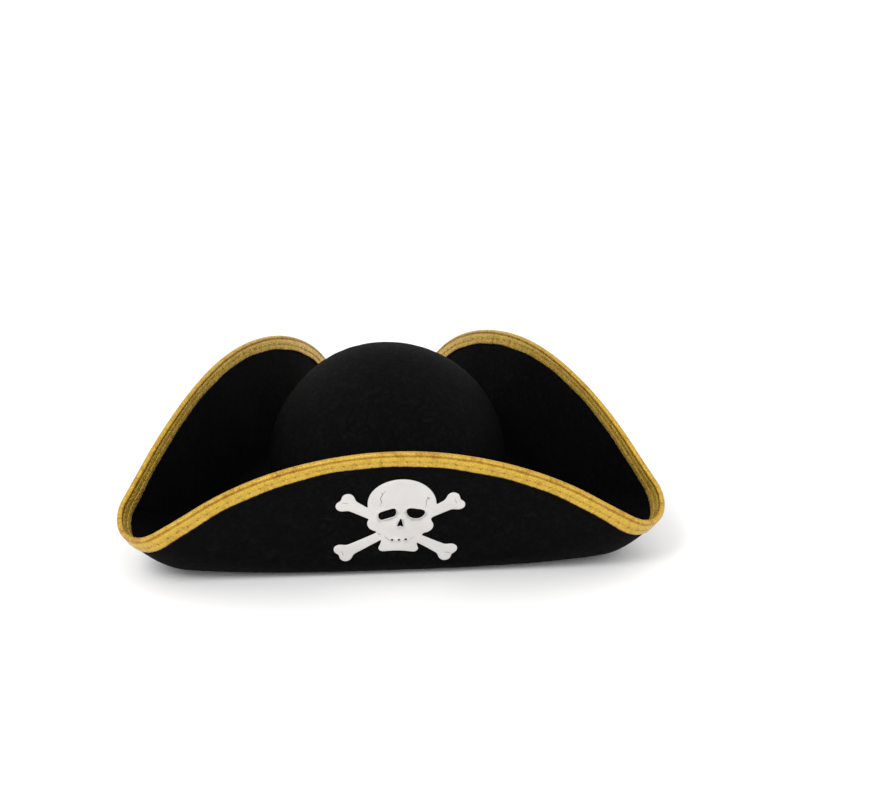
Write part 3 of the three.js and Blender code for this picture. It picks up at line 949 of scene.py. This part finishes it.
class TRICORN_OT_badge(bpy.types.Operator):
    """Cut the skull and crossbones and lay it on the front flap"""

    bl_idname = "tricorn.badge"
    bl_label = "Skull Badge"

    def execute(self, context):
        scene = context.scene
        badge = scene.tricorn_badge
        felt = Felt(scene.tricorn_felt)
        settings = felt.sizes
        lines = outlines(badge_shape)
        heights = np.concatenate([line[:, 1] for line in lines])
        top, bottom = heights.max(), heights.min()
        flat = settings.brim_radius - felt.flaps[0][1] - settings.fold_length / 2
        scale = (flat - badge.below_edge - badge.above_fold) / (top - bottom)

        def laid(place, lift):
            """A point of the drawing, lifted off the felt's outer face."""
            x = badge.across + place[:, 0] * scale
            y = badge.below_edge + (top - place[:, 1]) * scale - settings.brim_radius
            angle = np.arctan2(y, x)
            return felt.point(angle, felt.brim_step(angle, np.hypot(x, y)), settings.thickness + lift)

        self.cut(badge, lines, scale, laid)
        self.draw_lines(badge, laid)
        return {"FINISHED"}

    def cut(self, badge, lines, scale, laid):
        """The sheet: its rounded edge level by level, then its two faces."""
        floor = 0.0002  # clear of the felt
        thick, radius = badge.thickness, badge.rounding
        slopes = [slope(badge_shape, line) for line in lines]
        levels = [(radius, floor), (0.3 * radius, floor), (0, floor + 0.4 * radius), (0, thick - radius)]
        for turn in (0.5, 1.0, math.pi / 2):
            levels.append((radius * (1 - math.cos(turn)), thick - radius * (1 - math.sin(turn))))
        points, starts = [], []
        for inset, lift in levels:
            starts.append(len(points))
            for line, way in zip(lines, slopes):
                points.extend(laid(line - way * inset / scale, lift))
        faces, edges, first = [], [], 0
        for line in lines:
            ring = [(first + j, first + (j + 1) % len(line)) for j in range(len(line))]
            for low, high in zip(starts, starts[1:]):
                faces += [(low + a, low + b, high + b, high + a) for a, b in ring]
            edges += ring
            first += len(line)
        rim = np.concatenate([line - way * radius / scale for line, way in zip(lines, slopes)])
        columns, rows = np.arange(-50, 50, INNER_SPACING), np.arange(-34, 44, INNER_SPACING)
        xs, ys = np.meshgrid(columns, rows, indexing="ij")
        keep = badge_shape(xs, ys) < -INNER_SPACING / 2
        inner = np.stack([xs[keep], ys[keep]], -1)
        spots = [Vector(p) for p in np.concatenate([rim, inner])]
        out_points, _, triangles, _, _, _ = delaunay_2d_cdt(spots, edges, [], 0, 1e-6)
        flat = np.array([tuple(p) for p in out_points])
        if len(flat) != len(spots):
            raise RuntimeError("the badge's outline crosses itself")
        added = len(points)
        points.extend(laid(flat[len(rim):], thick))
        under = len(points)
        points.extend(laid(flat[len(rim):], floor))
        for tri in triangles:
            mid = flat[list(tri)].mean(0)
            if badge_shape(mid[:1], mid[1:])[0] > -0.72 * radius / scale:
                continue
            over = [starts[-1] + i if i < len(rim) else added + i - len(rim) for i in tri]
            below = [starts[0] + i if i < len(rim) else under + i - len(rim) for i in tri]
            faces += [tuple(over), tuple(below[::-1])]
        piece("badge_sheet", points, faces, badge_finish(badge), "hat", ["skull_badge"])

    def draw_lines(self, badge, laid):
        """The printed lines, as thin raised strokes."""
        lines = [self.turned(stroke, -SKULL_TILT, SKULL_ACROSS, 0) for stroke in STROKES]
        for tilt, reach, across, up in CROSSED_BONES:
            for end in (-1, 1):
                x, y = across + end * reach * math.cos(tilt), up + end * reach * math.sin(tilt)
                lines.append(self.turned(BONE_END, tilt, x, y))
        points, faces = [], []
        for line in lines:
            fine = np.linspace(0, len(line) - 1, 5 * len(line))
            stroke = np.stack([np.interp(fine, np.arange(len(line)), line[:, k]) for k in range(3)], -1)
            for _ in range(5):
                stroke[1:-1] = stroke[:-2] / 4 + stroke[1:-1] / 2 + stroke[2:] / 4
            ahead = np.gradient(stroke[:, :2], axis=0)
            across = unit(np.stack([-ahead[:, 1], ahead[:, 0]], -1)) * stroke[:, 2:]
            high, low = badge.thickness + 0.00004, badge.thickness - 0.0001
            section = ((1, low), (0.6, high), (-0.6, high), (-1, low))
            rings = np.stack([laid(stroke[:, :2] + share * across, lift) for share, lift in section], 1)
            made, skin, _ = grid(rings, closed=False, caps=[rings[0].mean(0), rings[-1].mean(0)])
            faces += [tuple(i + len(points) for i in face) for face in skin]
            points += made
        piece("badge_lines", points, faces, print_finish(badge), "hat")

    def turned(self, stroke, angle, x, y):
        """A stroke turned and moved to its place."""
        c, s = math.cos(angle), math.sin(angle)
        return np.array([(x + u * c + v * s, y + v * c - u * s, w) for u, v, w in stroke])


class TRICORN_OT_sweatband(bpy.types.Operator):
    """Line the head opening with a ribbon that meets at the back"""

    bl_idname = "tricorn.sweatband"
    bl_label = "Sweatband"

    def execute(self, context):
        scene = context.scene
        lining = scene.tricorn_lining
        felt = Felt(scene.tricorn_felt)
        outside = -felt.sizes.thickness - scene.tricorn_trim.gap
        half_gap = lining.ribbon_gap / scene.tricorn_felt.head_length
        angles = np.linspace(math.pi / 2 + half_gap, math.pi / 2 + TAU - half_gap, 421)
        heights = np.linspace(0, lining.ribbon_height, 9)
        ends = smooth(0.0, 0.05, angles - angles[0]) * smooth(0.0, 0.05, angles[-1] - angles)

        def wall(rise, inner):
            ease = smooth(0.004, lining.ribbon_height, rise)
            sway = 0.00035 * np.sin(23 * angles + 1) + 0.00025 * np.sin(41 * angles)
            lean = ease * ends * (0.0004 + sway)
            edge = 0.0003 * np.sin(17 * angles) * ease
            depth = outside - (lining.ribbon_thickness if inner else 0) - lean
            return felt.beside_wall(angles, depth, lining.ribbon_floor + rise + edge)

        inner = [wall(rise, True) for rise in heights]
        outer = [wall(rise, False) for rise in heights[::-1]]
        rings = np.stack([*inner, *outer], 1)
        run = np.concatenate([[0], np.cumsum(np.linalg.norm(np.diff(rings[:, 0], axis=0), axis=-1)), [0]])
        tips = [rings[0].mean(0), rings[-1].mean(0)]
        points, faces, weave = grid(rings, run, running(rings[5]), closed=False, caps=tips)
        finish = ribbon_finish(lining)
        ribbon = piece("sweatband_ribbon", points, faces, finish, "hat", ["sweatband"], weave)
        return {"FINISHED"}


class TRICORN_OT_sweatband_threads(bpy.types.Operator):
    """Sew the ribbon into the crown"""

    bl_idname = "tricorn.sweatband_threads"
    bl_label = "Sweatband Threads"

    def execute(self, context):
        scene = context.scene
        lining = scene.tricorn_lining
        trim = scene.tricorn_trim
        felt = Felt(scene.tricorn_felt)
        finish = thread_finish("black_thread", lining.thread_black, 0.55)
        count = lining.stitches * POINTS_PER_STITCH
        angles = np.arange(count) / count * TAU + math.pi / 2
        dip = 0.0004 * gauss(np.sin(np.arange(count) / POINTS_PER_STITCH * math.pi), 0.35)
        lift = trim.thread * 0.5 + 0.00015 - dip
        inside = -felt.sizes.thickness - trim.gap - lining.ribbon_thickness
        for name, place, way in (("sweatband_needle", inside, -1), ("sweatband_bobbin", 0.0, 1)):
            height = middle(f"{name}_thread", 2)
            places = place + way * lift, place + way * (lift + 0.001)
            line, above = (felt.beside_wall(angles, each, height) for each in places)
            sewn(name, line, above, trim.thread, finish)
        return {"FINISHED"}


class TRICORN_OT_care_label(bpy.types.Operator):
    """Hang the blank care label from the sweatband at the back"""

    bl_idname = "tricorn.care_label"
    bl_label = "Care Label"

    def execute(self, context):
        scene = context.scene
        lining = scene.tricorn_lining
        low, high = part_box("care_label")
        place_y, half = (low.y + high.y) / 2, 0.0002  # half the satin's thickness
        xs = np.linspace(low.x, high.x, 29)
        drop = np.linspace(0, 1, 19)
        wide, deep = np.meshgrid(xs, drop, indexing="ij")
        across = wide / (high.x - low.x) * 2
        curl = 0.0007 * deep**2 * (1 + 0.6 * across) - 0.0002 * np.cos(3 * across) * deep
        height = high.z - deep * (high.z - low.z) + 0.0002 * np.sin(4 * across) * deep
        front = np.stack([wide, place_y - half - curl, height], -1)
        back = np.stack([wide, place_y + half - curl, height], -1)
        rings = np.concatenate([front, back[:, ::-1]], axis=1)
        tips = [rings[0].mean(0), rings[-1].mean(0)]
        run = np.append(xs - xs[0], 0)
        points, faces, weave = grid(rings, run, running(rings[14]), closed=False, caps=tips)
        finish = satin_finish(lining)
        label = piece("label_satin", points, faces, finish, "care_label", ["care_label"], weave)
        self.sew_on(scene.tricorn_trim.thread / 2, lining)
        return {"FINISHED"}

    def sew_on(self, radius, lining):
        """A row of thread along the label's top edge that bites into the ribbon between its stitches."""
        low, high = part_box("label_stitching")
        count = 14 * POINTS_PER_STITCH + 1
        xs = np.linspace(low.x, high.x, count)
        centre = (low + high) / 2
        bite = 0.0002 * np.cos(np.arange(count) / POINTS_PER_STITCH * TAU)
        line = np.stack([xs, centre.y + bite, np.full(count, centre.z)], -1)
        turn = np.arange(THREAD_SIDES + 1) / THREAD_SIDES * TAU
        spokes = np.stack([0 * turn, np.cos(turn), np.sin(turn)], -1)[:-1]
        rings = line[:, None] + spokes * radius
        run = np.append(xs - xs[0], 0)
        points, faces, weave = grid(rings, run, turn * radius, False, (line[0], line[-1]))
        finish = thread_finish("label_thread", lining.thread_black, 0.55)
        piece("label_stitches", points, faces, finish, "hat", ["label_stitching"], weave)


class TRICORN_OT_studio(bpy.types.Operator):
    """Set up the floor, the lights and the camera"""

    bl_idname = "tricorn.studio"
    bl_label = "Studio"

    def execute(self, context):
        scene = context.scene
        studio = scene.tricorn_studio
        size = 9.0
        under = -0.0002  # just below the hat's resting surface
        corners = [(-size, -size, under), (size, -size, under), (size, size, under), (-size, size, under)]
        mesh = bpy.data.meshes.new("floor")
        mesh.from_pydata(corners, [], [(0, 1, 2, 3)])
        mesh.materials.append(floor_finish(studio))
        floor = bpy.data.objects.new("floor", mesh)
        scene.collection.objects.link(floor)

        world = bpy.data.worlds.new("studio")
        scene.world = world
        world.use_nodes = True
        back = world.node_tree.nodes["Background"]
        back.inputs["Color"].default_value = (1, 1, 1, 1)
        back.inputs["Strength"].default_value = studio.sky
        scene.view_settings.view_transform = "Standard"

        aim = Felt(scene.tricorn_felt).centre + (0, 0, 0.05)
        self.lamp(scene, "key", (-0.9, -1.3, 1.7), 0.9, studio.key_power, aim)
        self.lamp(scene, "fill", (1.5, -0.9, 0.9), 1.5, studio.fill_power, aim)

        camera = bpy.data.objects.new("camera", bpy.data.cameras.new("camera"))
        scene.collection.objects.link(camera)
        scene.camera = camera
        camera.data.sensor_width = 36
        camera.data.lens = studio.lens
        camera.data.clip_start, camera.data.clip_end = 0.01, 100
        yaw, roll = -0.028, -0.010  # in radians
        outward = math.cos(studio.elevation)
        off = Vector((math.sin(yaw) * outward, -math.cos(yaw) * outward, math.sin(studio.elevation)))
        opening = Vector(Felt(scene.tricorn_felt).centre) + Vector((0, 0, scene.tricorn_felt.thickness))
        pivot = opening + Vector((0, 0, 0.040))
        place = pivot + off * studio.distance
        target = opening + Vector((0.0395, 0, 0.0819))  # puts the hat low and to the left in the view
        ahead = (target - place).normalized()
        level = ahead.cross(Vector((0, 0, 1))).normalized()
        upright = level.cross(ahead)
        right = level * math.cos(roll) + upright * math.sin(roll)
        up = upright * math.cos(roll) - level * math.sin(roll)
        turn = Matrix((right, up, -ahead)).transposed()
        camera.matrix_world = Matrix.Translation(place) @ turn.to_4x4()
        return {"FINISHED"}

    def lamp(self, scene, name, place, size, power, aim):
        """A soft round lamp turned towards a point."""
        light = bpy.data.lights.new(name, "AREA")
        light.shape, light.size, light.energy = "DISK", size, power
        lamp = bpy.data.objects.new(name, light)
        scene.collection.objects.link(lamp)
        lamp.location = place
        lamp.rotation_mode = "QUATERNION"
        lamp.rotation_quaternion = (Vector(aim) - Vector(place)).to_track_quat("-Z", "Y")


OPERATORS = (
    TRICORN_OT_studio,
    TRICORN_OT_felt_hood,
    TRICORN_OT_edge_binding,
    TRICORN_OT_binding_threads,
    TRICORN_OT_badge,
    TRICORN_OT_sweatband,
    TRICORN_OT_sweatband_threads,
    TRICORN_OT_care_label,
)


class TRICORN_PT_panel(bpy.types.Panel):
    """The hat's pieces and sizes"""

    bl_idname = "TRICORN_PT_panel"
    bl_label = "Felt Tricorn"
    bl_space_type = "VIEW_3D"
    bl_region_type = "UI"
    bl_category = "Tricorn"

    def draw(self, context):
        for operator in OPERATORS:
            self.layout.operator(operator.bl_idname)
        for name, group in GROUPS.items():
            box = self.layout.box()
            for key in group.__annotations__:
                box.prop(getattr(context.scene, name), key)


def register():
    for group in (*GROUPS.values(), *OPERATORS, TRICORN_PT_panel):
        bpy.utils.register_class(group)
    for name, group in GROUPS.items():
        setattr(bpy.types.Scene, name, PointerProperty(type=group))


def unregister():
    for name in GROUPS:
        delattr(bpy.types.Scene, name)
    for group in (TRICORN_PT_panel, *OPERATORS[::-1], *GROUPS.values()):
        bpy.utils.unregister_class(group)


def main():
    register()
    for operator in OPERATORS:
        module, name = operator.bl_idname.split(".")
        getattr(getattr(bpy.ops, module), name)()


if __name__ == "__main__":
    main()
